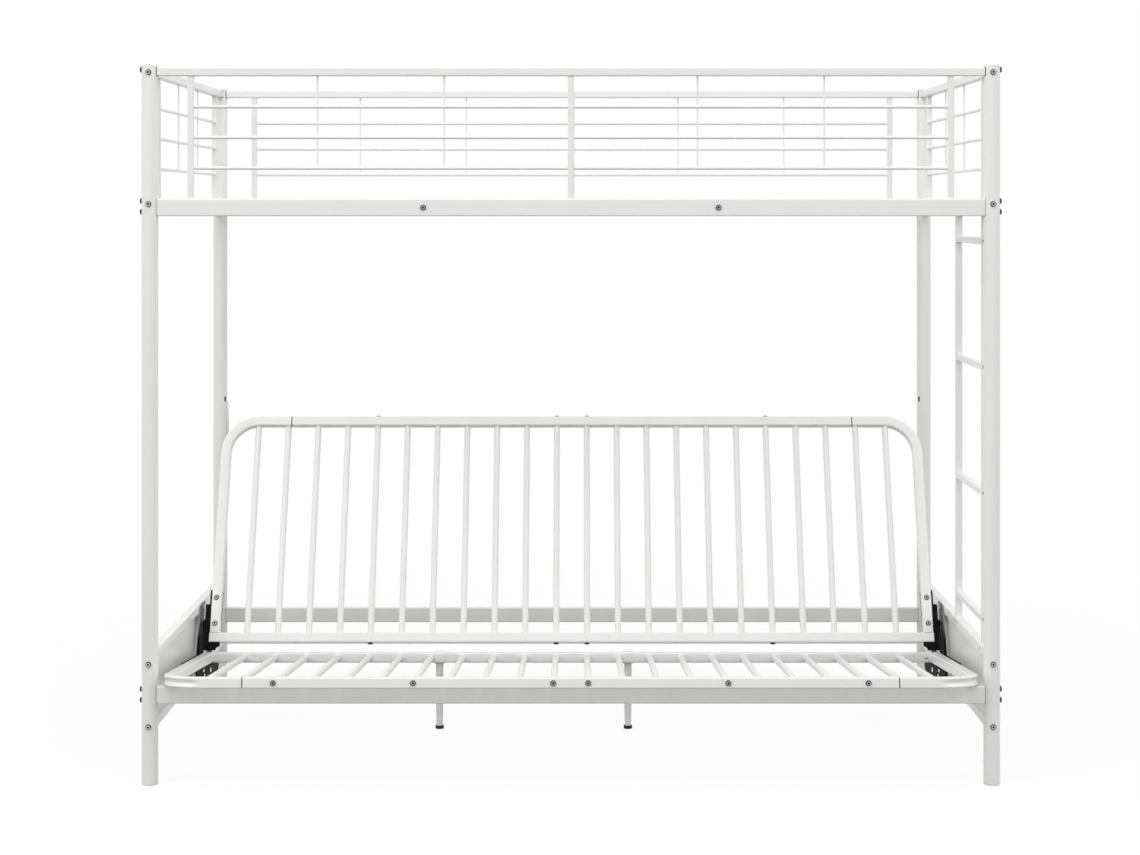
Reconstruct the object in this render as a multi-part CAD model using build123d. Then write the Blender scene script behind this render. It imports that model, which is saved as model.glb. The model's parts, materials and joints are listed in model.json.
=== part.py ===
from build123d import *
import os
from math import asin, atan2, cos, degrees, hypot, radians, sin, tan

# White tubular steel bunk bed: a single bunk with guards on top, a folding
# sofa frame below it, and a ladder on the right end.
# X runs along the bed, -Y is the front, +Z is up. All lengths are millimetres.

os.makedirs("parts", exist_ok=True)

# Overall size, over the outer faces of the posts
length_over_posts = 1981.0
depth_over_posts = 1041.0
height = 1659.0

# Posts with their caps and feet
post_diameter = 38.0
post_wall = 1.2
cap_thickness = 3.0
foot_thickness = 5.0
cap_plug_depth = 4.0
foot_plug_depth = 20.0
plug_clearance = 0.2
disc_chamfer = 1.0

# Rails that join the posts
rail_height = 40.0
rail_depth = 20.0
rail_wall = 1.2
rail_corner = 3.0
upper_rail_depth = 328.5
lower_rail_z = 207.0
rail_bolt_rise = 12.5
upper_bolt_lift = 2.5
end_rail_bolt_rise = 8.0
insert_length = 18.0

# Bunk base: cross slats that lie on a ledge inside each long upper rail
ledge_width = 20.0
ledge_thickness = 2.0
ledge_drop = 6.0
bunk_slat_count = 14
bunk_slat_width = 25.0
bunk_slat_height = 12.0
bunk_slat_wall = 1.0
bunk_slat_corner = 2.0
bunk_slat_clearance = 1.0
slats_outside_bolts_count = 4

# Guards round the bunk
guard_tube = 20.0
guard_wall = 1.2
guard_corner = 3.0
guard_below_top = 5.5
guard_bolt_rise = 5.0
end_guard_bolt_drop = 1.5
guard_bar = 14.0
guard_bar_corner = 2.5
guard_bar_inset = 94.5
guard_rod_diameter = 8.0
guard_rod_count = 3
guard_wire_diameter = 4.0
guard_bays = 3

# Side panels, under the arms of the sofa
panel_bottom_z = 124.5
panel_top_z = 305.0
panel_tube = 22.0
panel_wall = 1.2
panel_corner = 3.0
panel_end_tube = 16.0
panel_sheet = 1.5
panel_bolt_drop = 25.5

# Ladder on the right end
ladder_tube = 16.0
ladder_wall = 1.2
ladder_corner = 2.5
ladder_post_gap = 87.0
ladder_width = 354.5
ladder_first_rise = 60.5
ladder_last_drop = 58.5
ladder_rung_count = 4
tongue_length = 16.0
tongue_clearance = 0.3
ladder_screw_diameter = 4.0
ladder_screw_head = 7.0
ladder_screw_head_height = 2.0

# Bolts
bolt_diameter = 6.0
bolt_clearance = 0.2
bolt_head_diameter = 13.0
bolt_head_height = 3.6
bolt_chamfer_share = 0.5
bolt_socket = 6.0
bolt_socket_depth = 2.4
bolt_reach = 16.0
nut_width = 10.0
nut_height = 5.0

# Tube of the sofa's two frames
frame_tube = 25.4
frame_wall = 1.2
frame_corner = 4.0
seat_reach_past_middle = 100.0
back_reach_past_middle = 58.5
frame_bend = 87.3
seam_past_slat = 69.0
seam_gap = 3.0
joiner_length = 130.0
joiner_inner_share = 0.65
joiner_wall = 1.5
joiner_clearance = 0.2
frame_slat_count = 22
frame_slat_diameter = 16.0
frame_slat_wall = 1.0
slat_end_gap = 0.2

# Seat frame
seat_post_gap = 11.8
seat_overhang = 70.0
seat_tilt_angle = 6.25
rest_gap = 0.3
seat_bolt_count = 3
seat_bolt_slat_count = 4

# Back frame, placed from the seat's rear rail
back_inset = 9.8
back_set_back = 38.1
back_rise = 41.6
back_lean_angle = 22.6
back_bolt_count = 2
back_bolt_slat_count = 6

# Centre legs under the seat's rear rail
leg_left_slat_count = 4
leg_left_gap = 0.2
leg_right_slat_count = 1
leg_right_gap = 3.6
leg_diameter = 19.0
leg_foot_diameter = 16.0
leg_taper_length = 60.0
leg_wall = 1.2
saddle_width = 26.0
saddle_wall = 2.0
saddle_clearance = 0.15
leg_foot_height = 8.0
leg_foot_wall = 1.5

# Folding mechanism at each end of the sofa
plate_thickness = 3.0
seat_travel = 200.0
pivot_behind = 55.6
pivot_below = 3.1
pivot_diameter = 10.0
pivot_clearance = 0.06
pivot_lobe = 14.0
pivot_collar = 18.0
pivot_head = 16.0
pivot_head_thickness = 2.5
side_clearance = 0.3
back_plate_top = 122.0
back_lip_top = 85.0
back_lip_width = 10.0
back_flange_start = 20.0
back_bolt_low = 36.0
back_bolt_high = 103.0
foot_flange_drop = 21.0
foot_flange_width = 28.0
foot_flange_notch = 10.0
seat_plate_length = 250.0
seat_plate_rise = 8.0
seat_lip_depth = 25.0
seat_lip_tail = 75.0
seat_lip_hole = 10.0
seat_lip_holes = 3
seat_plate_bolts = (60.0, 180.0)
roller_ahead = 60.0
roller_below = 7.0
roller_diameter = 11.0
roller_stud = 8.0
slot_clearance = 0.3
link_length = 105.0
link_width = 20.0
link_pin_up = 43.0
link_pin_behind = 24.5
link_panel_gap = 8.0
link_boss = 14.0
track_height = 22.0
fixed_plate_top_drop = 2.0
fixed_plate_width = 71.0
fixed_plate_top_behind = 66.0
fixed_plate_foot_behind = 6.0
fixed_plate_bend_rise = 3.2
fixed_plate_radius = 5.0
fixed_plate_bolt_inset = 36.0

# One overrun for every cut, and one joint gap between a rail end and its post
overrun = 1.0
joint_gap = 0.05

# Places that follow from the sizes above
post_radius = post_diameter / 2
post_x = (length_over_posts - post_diameter) / 2
post_y = (depth_over_posts - post_diameter) / 2
upper_rail_z = height - upper_rail_depth
upper_rail_top = upper_rail_z + rail_height / 2
upper_rail_bottom = upper_rail_z - rail_height / 2
lower_rail_top = lower_rail_z + rail_height / 2
guard_rail_z = height - guard_below_top - guard_tube / 2
guard_bar_x = post_x - guard_bar_inset
end_bar_y = post_y - guard_bar_inset
ledge_z = upper_rail_z - ledge_drop
bunk_slat_pitch = 2 * (post_x - post_radius) / bunk_slat_count
half_tube = frame_tube / 2
seat_outer_x = post_x - post_radius - seat_post_gap
seat_half = seat_outer_x - half_tube
back_outer_x = seat_outer_x - back_inset
back_half = back_outer_x - half_tube
frame_slat_pitch = 2 * (seat_half - half_tube) / (frame_slat_count + 1)
seat_bolted_slats = [seat_bolt_slat_count * index for index in range(seat_bolt_count)]
back_bolted_slats = [back_bolt_slat_count * index for index in range(back_bolt_count)]
frame_seam_x = frame_slat_pitch * (seat_bolted_slats[-1] + 0.5) + seam_past_slat
seat_reach = depth_over_posts / 2 + seat_reach_past_middle
back_reach = depth_over_posts / 2 + back_reach_past_middle
tilt = radians(seat_tilt_angle)
lean = radians(90 - back_lean_angle)
seat_y = -post_y - seat_overhang
seat_z = (
    lower_rail_top
    + rest_gap
    + half_tube / cos(tilt)
    + (seat_overhang + rail_depth / 2) * tan(tilt)
)
ladder_front_y = -post_y + ladder_post_gap
ladder_back_y = ladder_front_y + ladder_width
ladder_low_rung_z = panel_top_z + ladder_first_rise
ladder_top_rung_z = upper_rail_bottom - ladder_last_drop
ladder_rung_pitch = (ladder_top_rung_z - ladder_low_rung_z) / (ladder_rung_count - 1)
panel_inner_x = post_x - panel_tube / 2


def seat_point(behind, above):
    """Y and Z of a point of the seat, from its front rail's centre."""
    y = seat_y + behind * cos(tilt) + above * sin(tilt)
    z = seat_z - behind * sin(tilt) + above * cos(tilt)
    return y, z


def back_point(up, forward):
    """Y and Z of a point of the back, from its bottom rail's centre."""
    y = back_y + up * cos(lean) - forward * sin(lean)
    z = back_z + up * sin(lean) + forward * cos(lean)
    return y, z


def turned(point, centre, angle):
    """A point of the Y-Z plane turned about a centre, +Y towards +Z."""
    y, z = point[0] - centre[0], point[1] - centre[1]
    return (
        centre[0] + y * cos(angle) - z * sin(angle),
        centre[1] + y * sin(angle) + z * cos(angle),
    )


rear_rail_y, rear_rail_z = seat_point(seat_reach, 0)
back_y = rear_rail_y + back_set_back
back_z = rear_rail_z + back_rise
pivot_y, pivot_z = seat_point(seat_reach + pivot_behind, -pivot_below)
slid_pivot_y = pivot_y - seat_travel * cos(tilt)
slid_pivot_z = pivot_z + seat_travel * sin(tilt)

# The back lies down until its side tubes rest on the lower back rail
pivot_forward = -(pivot_y - back_y) * sin(lean) + (pivot_z - back_z) * cos(lean)
pivot_to_tube = -pivot_forward - half_tube
rest_corner_y = post_y - rail_depth / 2 - slid_pivot_y
rest_corner_z = lower_rail_top + rest_gap - slid_pivot_z
rest_distance = hypot(rest_corner_y, rest_corner_z)
flat_slope = atan2(rest_corner_z, rest_corner_y) - asin(pivot_to_tube / rest_distance)
recline = lean - flat_slope

# The link's fixed pivot is at one link length from both ends of its pin's path
link_pin = back_point(link_pin_up, -link_pin_behind)
pin_down = turned(link_pin, (pivot_y, pivot_z), -recline)
pin_down = (pin_down[0] - seat_travel * cos(tilt), pin_down[1] + seat_travel * sin(tilt))
chord_y, chord_z = link_pin[0] - pin_down[0], link_pin[1] - pin_down[1]
chord = hypot(chord_y, chord_z)
link_drop = (link_length**2 - (chord / 2) ** 2) ** 0.5
link_pivot = (
    (link_pin[0] + pin_down[0]) / 2 + link_drop * chord_z / chord,
    (link_pin[1] + pin_down[1]) / 2 - link_drop * chord_y / chord,
)

# Layers of the mechanism across the gap beside the sofa
fixed_plate_x = panel_inner_x - plate_thickness
link_x = fixed_plate_x - link_panel_gap


def tube_section(width, tall, wall, corner):
    """A rectangular tube's section with rounded corners."""
    inner_corner = corner - wall
    outer = RectangleRounded(width, tall, corner)
    return outer - RectangleRounded(width - 2 * wall, tall - 2 * wall, inner_corner)


def ring_section(diameter, wall):
    """A round tube's section."""
    return Circle(diameter / 2) - Circle(diameter / 2 - wall)


def along_x(section, start, end, y, z):
    """Extrude a section along X, its width along Y."""
    plane = Plane((start, y, z), x_dir=(0, 1, 0), z_dir=(1, 0, 0))
    return extrude(plane * section, end - start)


def along_y(section, start, end, x, z):
    """Extrude a section along Y, its width along X."""
    plane = Plane((x, start, z), x_dir=(1, 0, 0), z_dir=(0, 1, 0))
    return extrude(plane * section, end - start)


def along_z(section, start, end, x, y):
    """Extrude a section upwards."""
    return extrude(Plane((x, y, start)) * section, end - start)


def mirrored(solids):
    """The same pieces for the other end of the bed."""
    return [mirror(solid, about=Plane.YZ) for solid in solids]


def aimed(point, direction, shape):
    """Put a shape made along +Z at a point, along a direction."""
    return Plane(point, z_dir=direction).location * shape


def bolt(reach):
    """A dome-headed bolt with a hexagonal socket: head above the origin, shank below."""
    head = extrude(Circle(bolt_head_diameter / 2), bolt_head_height)
    head = chamfer(head.edges().group_by(Axis.Z)[-1], bolt_head_height * bolt_chamfer_share)
    socket = extrude(RegularPolygon(bolt_socket / 2, 6), -bolt_socket_depth)
    return head + extrude(Circle(bolt_diameter / 2), -reach) - Pos(0, 0, bolt_head_height) * socket


def bolt_hole(depth):
    """What a bolt's shank needs, from just above the origin downwards."""
    hole = Circle(bolt_diameter / 2 + bolt_clearance)
    return Pos(0, 0, overrun) * extrude(hole, -depth - overrun)


# Heights of the bolts in each post, along X and along Y
side_bolt_heights = (
    guard_rail_z + guard_bolt_rise,
    upper_rail_z + upper_bolt_lift + rail_bolt_rise,
    upper_rail_z + upper_bolt_lift - rail_bolt_rise,
    lower_rail_z + rail_bolt_rise,
    lower_rail_z - rail_bolt_rise,
)
face_bolt_heights = (
    guard_rail_z - end_guard_bolt_drop,
    upper_rail_z + end_rail_bolt_rise,
    panel_top_z - panel_bolt_drop,
    panel_bottom_z + panel_tube / 2,
)
post_bolt_length = post_diameter + bolt_reach


def post(side, front):
    """A round post with the through holes of its bolts."""
    x, y = side * post_x, front * post_y
    tube = along_z(ring_section(post_diameter, post_wall), foot_thickness, height - cap_thickness, x, y)
    for z in side_bolt_heights:
        tube -= aimed((x + side * post_radius, y, z), (side, 0, 0), bolt_hole(post_diameter + overrun))
    for z in face_bolt_heights:
        tube -= aimed((x, y + front * post_radius, z), (0, front, 0), bolt_hole(post_diameter + overrun))
    return tube


def post_plug(thickness, depth):
    """A disc as wide as the post, with a plug that goes down into it."""
    disc = extrude(Circle(post_radius), thickness)
    disc = chamfer(disc.edges().group_by(Axis.Z)[-1], disc_chamfer)
    return disc + extrude(Circle(post_radius - post_wall - plug_clearance), -depth)


def post_corners():
    """The four places of the posts, as signs."""
    return [(side, front) for side in (-1, 1) for front in (-1, 1)]


def post_rail(span, tall, deep, wall, corner, bolt_rises):
    """A tube along X between two posts, with end inserts that take the bolts."""
    half = span / 2
    rail = along_x(tube_section(deep, tall, wall, corner), -half, half, 0, 0)
    core = RectangleRounded(deep - 2 * wall, tall - 2 * wall, corner - wall)
    for side in (-1, 1):
        inner_end = side * (half - post_radius - insert_length)
        low, high = sorted((inner_end, side * half))
        rail += along_x(core, low, high, 0, 0)
        for rise in bolt_rises:
            hole = bolt_hole(post_diameter + 2 * insert_length)
            rail -= aimed((side * (half + post_radius), 0, rise), (side, 0, 0), hole)
        rail -= along_z(Circle(post_radius + joint_gap), -tall, tall, side * half, 0)
    return rail


def bunk_slat_places():
    """X of each slat of the bunk's base."""
    first = -(bunk_slat_count - 1) / 2
    return [(first + index) * bunk_slat_pitch for index in range(bunk_slat_count)]


def bolted_bunk_slats():
    """Indices of the two slats that hold the long rails together."""
    return slats_outside_bolts_count, bunk_slat_count - 1 - slats_outside_bolts_count


def long_upper_rail():
    """An upper rail along the bed, with the slats' ledge on its +Y side."""
    rail = post_rail(2 * post_x, rail_height, rail_depth, rail_wall, rail_corner,
                     (upper_bolt_lift + rail_bolt_rise, upper_bolt_lift - rail_bolt_rise))
    places = bunk_slat_places()
    half = places[-1] + bunk_slat_width
    ledge = Rectangle(ledge_width, ledge_thickness)
    rail += along_x(ledge, -half, half, (rail_depth + ledge_width) / 2, -ledge_drop - ledge_thickness / 2)
    for index in bolted_bunk_slats():
        hole = bolt_hole(rail_depth + overrun)
        rail -= aimed((places[index], -rail_depth / 2, 0), (0, -1, 0), hole)
    return rail


def bunk_slats():
    """Flat tubes across the bunk, lying on the ledges."""
    end = post_y - rail_depth / 2 - bunk_slat_clearance
    section = tube_section(bunk_slat_width, bunk_slat_height, bunk_slat_wall, bunk_slat_corner)
    middle_z = ledge_z + bunk_slat_height / 2
    return [along_y(section, -end, end, x, middle_z) for x in bunk_slat_places()]


def bunk_slat_bolts():
    """Bolts through the long rails into the two slats that hold them together."""
    places = bunk_slat_places()
    bolts = []
    for index in bolted_bunk_slats():
        for front in (-1, 1):
            seat = (places[index], front * (post_y + rail_depth / 2), upper_rail_z)
            bolts.append(aimed(seat, (0, front, 0), bolt(rail_depth + bolt_reach)))
    return bolts


def rod_heights():
    """Heights of the guards' rods, evenly spaced under the guard rail."""
    under = guard_rail_z - guard_tube / 2
    gap = (under - upper_rail_top) / (guard_rod_count + 1)
    return [under - gap * (index + 1) for index in range(guard_rod_count)]


def guard(bar_places, wire_places, span, bolt_rise):
    """A guard along X, centred on the origin's line: rail, bars, rods, wires."""
    rail = post_rail(span, guard_tube, guard_tube, guard_wall, guard_corner, (bolt_rise,))
    pieces = [Pos(0, 0, guard_rail_z) * rail]
    under = guard_rail_z - guard_tube / 2
    bar = tube_section(guard_bar, guard_bar, guard_wall, guard_bar_corner)
    for x in bar_places:
        pieces.append(along_z(bar, upper_rail_top, under, x, 0))
    for z in rod_heights():
        for left, right in zip(bar_places, bar_places[1:]):
            start, end = left + guard_bar / 2, right - guard_bar / 2
            pieces.append(along_x(Circle(guard_rod_diameter / 2), start, end, 0, z))
    for x in wire_places:
        pieces += guard_wire(x, under)
    return pieces


def guard_wire(x, under):
    """The short wires between a guard's rail and its rods, one above the other."""
    wire = along_z(Circle(guard_wire_diameter / 2), rod_heights()[-1], under, x, 0)
    for z in rod_heights():
        wire -= along_x(Circle(guard_rod_diameter / 2), x - guard_bar, x + guard_bar, 0, z)
    return list(wire.solids())


def long_guard():
    """The guard along the front or back of the bunk."""
    bars = (-guard_bar_x, 0, guard_bar_x)
    wires = []
    for index in range(1, guard_bays):
        wires += [-guard_bar_x * index / guard_bays, guard_bar_x * index / guard_bays]
    return guard(bars, wires, 2 * post_x, guard_bolt_rise)


def end_guard():
    """The guard across one end of the bunk."""
    wires = (-end_bar_y / guard_bays, end_bar_y / guard_bays)
    return guard((-end_bar_y, end_bar_y), wires, 2 * post_y, -end_guard_bolt_drop)


def placed(location, solids):
    """The same solids at another location."""
    return [location * solid for solid in solids]


def ladder_rail_places():
    """Y of the ladder's two rails, front one first."""
    return ladder_front_y, ladder_back_y


def tongue_hole(x, y, z):
    """The square hole for a ladder rail's tongue in the wall of a tube."""
    side = ladder_tube - 2 * ladder_wall
    reach = panel_wall + rail_wall + overrun
    return along_z(Rectangle(side, side), z - reach, z + reach, x, y)


def screw_hole(x, y, z, reach):
    """A ladder screw's hole from an inner face, along X."""
    radius = ladder_screw_diameter / 2 + bolt_clearance
    return aimed((x, y, z), (-1, 0, 0), Pos(0, 0, overrun) * extrude(Circle(radius), -reach - overrun))


def end_rail(with_ladder):
    """An upper rail across the end of the bed."""
    rail = post_rail(2 * post_y, rail_height, rail_depth, rail_wall, rail_corner, (end_rail_bolt_rise,))
    rail = Pos(post_x, 0, upper_rail_z) * Rot(0, 0, 90) * rail
    if with_ladder:
        for y in ladder_rail_places():
            rail -= tongue_hole(post_x, y, upper_rail_bottom)
            screw_z = upper_rail_bottom + tongue_length / 2
            rail -= screw_hole(post_x - rail_depth / 2, y, screw_z, rail_wall + overrun)
    return rail


def side_panel(with_ladder):
    """Right-hand panel: top and bottom tubes, two end tubes and a sheet."""
    pieces = []
    middle = panel_tube / 2
    for z, rise in ((panel_bottom_z + middle, 0), (panel_top_z - middle, None)):
        rises = () if rise is None else (rise,)
        tube = post_rail(2 * post_y, panel_tube, panel_tube, panel_wall, panel_corner, rises)
        pieces.append(Pos(post_x, 0, z) * Rot(0, 0, 90) * tube)
    if with_ladder:
        for y in ladder_rail_places():
            pieces[1] -= tongue_hole(post_x, y, panel_top_z)
            screw_z = panel_top_z - tongue_length / 2
            pieces[1] -= screw_hole(panel_inner_x, y, screw_z, panel_wall + overrun)
    low, high = panel_bottom_z + panel_tube, panel_top_z - panel_tube
    end_section = tube_section(panel_tube, panel_end_tube, panel_wall, panel_corner)
    end_middle = post_y - post_radius - joint_gap - panel_end_tube / 2
    for front in (-1, 1):
        upright = along_z(end_section, low, high, post_x, front * end_middle)
        seat = (post_x, front * (post_y + post_radius), panel_top_z - panel_bolt_drop)
        upright -= aimed(seat, (0, front, 0), bolt_hole(post_bolt_length + overrun))
        pieces.append(upright)
    half = end_middle - panel_end_tube / 2
    sheet = Rectangle(panel_sheet, 2 * half)
    pieces.append(along_z(sheet, low, high, post_x, 0))
    return pieces


def ladder_rail(y):
    """A ladder rail with a tongue at each end, and its rungs' bolt holes."""
    section = tube_section(ladder_tube, ladder_tube, ladder_wall, ladder_corner)
    rail = along_z(section, panel_top_z, upper_rail_bottom, post_x, y)
    bore = ladder_tube - 2 * ladder_wall
    side = bore - 2 * tongue_clearance
    tongue = RectangleRounded(side, side, ladder_corner - ladder_wall)
    plug = RectangleRounded(bore, bore, ladder_corner - ladder_wall)
    for face, way in ((panel_top_z, 1), (upper_rail_bottom, -1)):
        inside, outside = face + way * tongue_length, face - way * tongue_length
        block = along_z(tongue, min(inside, outside), max(inside, outside), post_x, y)
        block += along_z(plug, min(face, inside), max(face, inside), post_x, y)
        screw_z = face - way * tongue_length / 2
        block -= screw_hole(panel_inner_x - panel_tube, y, screw_z, 2 * panel_tube)
        rail += block
    outward = -1 if y < ladder_back_y else 1
    for z in rung_heights():
        seat = (post_x, y + outward * ladder_tube / 2, z)
        rail -= aimed(seat, (0, outward, 0), bolt_hole(ladder_tube + overrun))
    return rail


def rung_heights():
    """Heights of the rungs, from the top one down."""
    return [ladder_top_rung_z - ladder_rung_pitch * index for index in range(ladder_rung_count)]


def ladder_rungs():
    """The rungs between the ladder's rails."""
    start, end = ladder_front_y + ladder_tube / 2, ladder_back_y - ladder_tube / 2
    section = tube_section(ladder_tube, ladder_tube, ladder_wall, ladder_corner)
    return [along_y(section, start, end, post_x, z) for z in rung_heights()]


def ladder_bolts():
    """Bolts through the ladder's rails into its rungs."""
    bolts = []
    for y, outward in zip(ladder_rail_places(), (-1, 1)):
        for z in rung_heights():
            seat = (post_x, y + outward * ladder_tube / 2, z)
            bolts.append(aimed(seat, (0, outward, 0), bolt(ladder_tube + bolt_reach)))
    return bolts


def ladder_screws():
    """Small screws from inside the bed into the ladder's tongues."""
    head = extrude(Circle(ladder_screw_head / 2), ladder_screw_head_height)
    screws = []
    for x, z in (
        (panel_inner_x, panel_top_z - tongue_length / 2),
        (post_x - rail_depth / 2, upper_rail_bottom + tongue_length / 2),
    ):
        shank = extrude(Circle(ladder_screw_diameter / 2), -(post_x - x))
        for y in ladder_rail_places():
            screws.append(aimed((x, y, z), (-1, 0, 0), head + shank))
    return screws


def post_bolts(along_bed):
    """The bolts through the posts, along the bed or across it."""
    bolts = []
    for side, front in post_corners():
        x, y = side * post_x, front * post_y
        heights = side_bolt_heights if along_bed else face_bolt_heights
        for z in heights:
            way = (side, 0, 0) if along_bed else (0, front, 0)
            seat = (x + way[0] * post_radius, y + way[1] * post_radius, z)
            bolts.append(aimed(seat, way, bolt(post_bolt_length)))
    return bolts


# Both sofa frames are made lying flat: X along the bed, the bent rail's
# centre line on Y = 0 and the straight one at Y = reach.


def frame_section():
    """The sofa frames' tube."""
    return tube_section(frame_tube, frame_tube, frame_wall, frame_corner)


def slat_places():
    """X of each slat right of the middle."""
    return [frame_slat_pitch * (index + 0.5) for index in range(frame_slat_count // 2)]


def rail_bolt_places(indices):
    """X of the bolts through a frame's rail, both sides of the middle."""
    return [way * slat_places()[index] for index in indices for way in (-1, 1)]


def bent_side(half, reach):
    """The right side tube with its bent corner and a piece of the bent rail."""
    path = FilletPolyline(
        (frame_seam_x + seam_gap, 0), (half, 0), (half, reach - half_tube), radius=frame_bend
    )
    start = Plane((frame_seam_x + seam_gap, 0, 0), x_dir=(0, 1, 0), z_dir=(1, 0, 0))
    return sweep(start * frame_section(), path=path)


def bent_rail(bolted):
    """The straight length between the bent corners, with its bolt holes."""
    rail = along_x(frame_section(), -frame_seam_x, frame_seam_x, 0, 0)
    for x in rail_bolt_places(bolted):
        rail -= aimed((x, -half_tube, 0), (0, -1, 0), bolt_hole(frame_tube + overrun))
    return rail


def frame_joiners(bolted):
    """Inner tubes that hold the bent corners to the straight rail."""
    size = frame_tube - 2 * frame_wall - 2 * joiner_clearance
    section = tube_section(size, size, joiner_wall, frame_corner - frame_wall)
    start = frame_seam_x - joiner_length * joiner_inner_share
    joiner = along_x(section, start, start + joiner_length, 0, 0)
    for x in rail_bolt_places(bolted):
        joiner -= aimed((x, -half_tube, 0), (0, -1, 0), bolt_hole(frame_tube + overrun))
    return [joiner] + mirrored([joiner])


def straight_rail(half, reach, bolted):
    """The rail across the side tubes' ends."""
    outer = half + half_tube
    rail = along_x(frame_section(), -outer, outer, reach, 0)
    for x in rail_bolt_places(bolted):
        rail -= aimed((x, reach + half_tube, 0), (0, 1, 0), bolt_hole(frame_tube + overrun))
    return rail


def slat_start(x, half):
    """Where a slat meets the bent rail; the bend moves the outermost ones back."""
    into_bend = max(0, x + frame_slat_diameter / 2 - (half - frame_bend))
    inner_bend = frame_bend - half_tube
    return frame_bend - (inner_bend**2 - into_bend**2) ** 0.5 + slat_end_gap


def frame_slats(half, reach):
    """Round tubes from one rail to the other."""
    end = reach - half_tube - slat_end_gap
    section = ring_section(frame_slat_diameter, frame_slat_wall)
    return [
        along_y(section, slat_start(x, half), end, way * x, 0)
        for x in slat_places() for way in (-1, 1)
    ]


def frame_bolts(reach, bent_bolts, straight_bolts):
    """Bolts through the frame's rails into its slats."""
    bolts = []
    for x in rail_bolt_places(bent_bolts):
        bolts.append(aimed((x, -half_tube, 0), (0, -1, 0), bolt(frame_tube + bolt_reach)))
    for x in rail_bolt_places(straight_bolts):
        seat = (x, reach + half_tube, 0)
        bolts.append(aimed(seat, (0, 1, 0), bolt(frame_tube + bolt_reach)))
    return bolts


seat_location = Location((0, seat_y, seat_z), (-seat_tilt_angle, 0, 0))
back_foot = Location((0, back_y, back_z), (90 - back_lean_angle, 0, 0))
back_location = back_foot * Pos(0, back_reach, 0) * Rot(0, 0, 180)


def seat_plane(x):
    """The Y-Z plane at x with the seat's own directions: back along it, and out of it."""
    return Plane((x, seat_y, seat_z), x_dir=(0, cos(tilt), -sin(tilt)), z_dir=(1, 0, 0))


def back_plane(x):
    """The Y-Z plane at x with the back's own directions: up along it, and forward."""
    return Plane((x, back_y, back_z), x_dir=(0, cos(lean), sin(lean)), z_dir=(1, 0, 0))


def bed_plane(x):
    """The Y-Z plane at x."""
    return Plane((x, 0, 0), x_dir=(0, 1, 0), z_dir=(1, 0, 0))


def box_sketch(low_y, low_z, high_y, high_z):
    """A rectangle between two corners."""
    return Pos((low_y + high_y) / 2, (low_z + high_z) / 2) * Rectangle(high_y - low_y, high_z - low_z)


def back_bracket():
    """Right-hand bracket: a lipped plate beside the side tube, a flange behind it, a foot below."""
    across = back_plane(back_outer_x)
    pivot_up = (pivot_y - back_y) * cos(lean) + (pivot_z - back_z) * sin(lean)
    rear = -half_tube - plate_thickness
    strap = box_sketch(-half_tube, rear, back_plate_top, half_tube)
    pivot_spot = Pos(pivot_up, pivot_forward) * Circle(pivot_lobe)
    pin_spot = Pos(link_pin_up, -link_pin_behind) * Circle(link_width / 2)
    front_spot = box_sketch(-half_tube - foot_flange_drop, 0, -half_tube, half_tube)
    web = make_hull((pivot_spot + pin_spot + front_spot).edges())
    plate = extrude(across * (strap + web), plate_thickness)
    lip_bottom = -half_tube - foot_flange_drop
    lip = box_sketch(lip_bottom, half_tube - plate_thickness, back_lip_top, half_tube)
    plate += extrude(across * lip, plate_thickness + back_lip_width)
    hole = Pos(pivot_up, pivot_forward) * Circle(pivot_diameter / 2 + pivot_clearance)
    plate -= extrude(across * hole, plate_thickness, both=True)
    behind = back_plane(back_outer_x - frame_tube)
    flange = box_sketch(back_flange_start, rear, back_plate_top, -half_tube)
    plate += extrude(behind * flange, frame_tube)
    for up in (back_bolt_low, back_bolt_high):
        y, z = back_point(up, half_tube)
        forward = (0, -sin(lean), cos(lean))
        plate -= aimed((back_half, y, z), forward, bolt_hole(frame_tube + 2 * plate_thickness))
    foot_plane = back_plane(back_outer_x - foot_flange_width)
    foot = box_sketch(-half_tube - foot_flange_drop, half_tube - plate_thickness, -half_tube, half_tube)
    foot_solid = extrude(foot_plane * foot, foot_flange_width)
    notch_y, notch_z = back_point(-half_tube - foot_flange_drop, half_tube)
    forward = (0, -sin(lean), cos(lean))
    notch = extrude(Circle(foot_flange_notch), 2 * plate_thickness, both=True)
    foot_solid -= aimed((back_outer_x - foot_flange_width, notch_y, notch_z), forward, notch)
    return plate + foot_solid


def back_bracket_bolts():
    """Bolts and nuts through the back's right side tube and its bracket."""
    forward = (0, -sin(lean), cos(lean))
    pieces = []
    for up in (back_bolt_low, back_bolt_high):
        y, z = back_point(up, half_tube)
        pieces.append(aimed((back_half, y, z), forward, bolt(frame_tube + plate_thickness + nut_height)))
        y, z = back_point(up, -half_tube - plate_thickness)
        nut = extrude(RegularPolygon(nut_width / 2, 6), -nut_height) - bolt_hole(nut_height + overrun)
        pieces.append(aimed((back_half, y, z), forward, nut))
    return pieces


def bored_side(side_tube):
    """The back's right side tube with the holes of its bracket bolts."""
    forward = (0, -sin(lean), cos(lean))
    for up in (back_bolt_low, back_bolt_high):
        y, z = back_point(up, half_tube)
        side_tube -= aimed((back_half, y, z), forward, bolt_hole(frame_tube + overrun))
    return side_tube


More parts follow.
